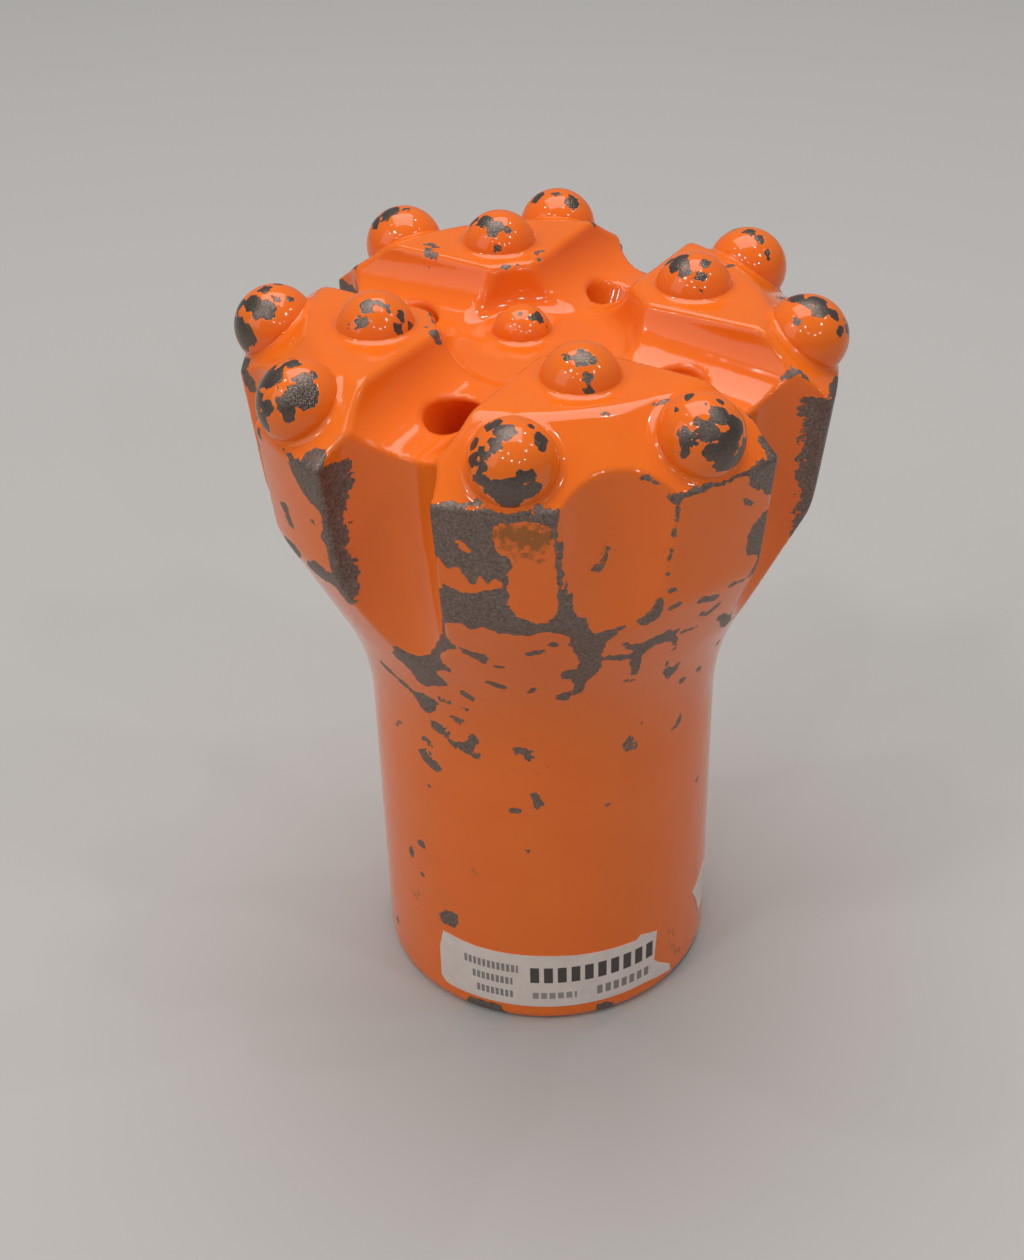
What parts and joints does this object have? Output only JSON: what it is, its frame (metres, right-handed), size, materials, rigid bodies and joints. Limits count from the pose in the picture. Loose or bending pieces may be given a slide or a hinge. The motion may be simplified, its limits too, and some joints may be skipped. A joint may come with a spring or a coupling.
{
  "type": "button drill bit",
  "caption": "Drop-centre percussive rock drill bit: a steel head with carbide buttons on four wings, flutes and flushing holes, over a socket with a left-hand rope thread.",
  "frame": {"origin": "centre of the skirt's mouth, on the plane that the bit stands on", "axes": "+Z along the bit's axis from the skirt's mouth to the drilling face; one of the four wings points along -Y"},
  "size_m": [0.0978, 0.0978, 0.1398],
  "materials": {
    "steel_paint": "thick glossy orange paint over forged alloy steel, flaked to bare brown-grey steel at edges and scuffs",
    "carbide_paint": "glossy orange paint over ground cemented carbide, flaked to bare dark carbide at the tops",
    "label_paper": "white self-adhesive paper, torn and grubby, with bars of grey print"
  },
  "bodies": {
    "root": {"bit_body": "steel_paint", "gauge_button_1": "carbide_paint", "gauge_button_2": "carbide_paint", "gauge_button_3": "carbide_paint", "gauge_button_4": "carbide_paint", "gauge_button_5": "carbide_paint", "gauge_button_6": "carbide_paint", "gauge_button_7": "carbide_paint", "gauge_button_8": "carbide_paint", "face_button_1": "carbide_paint", "face_button_2": "carbide_paint", "face_button_3": "carbide_paint", "face_button_4": "carbide_paint", "centre_button": "carbide_paint", "paper_label": "label_paper", "label_scrap": "label_paper"}
  },
  "joints": []
}
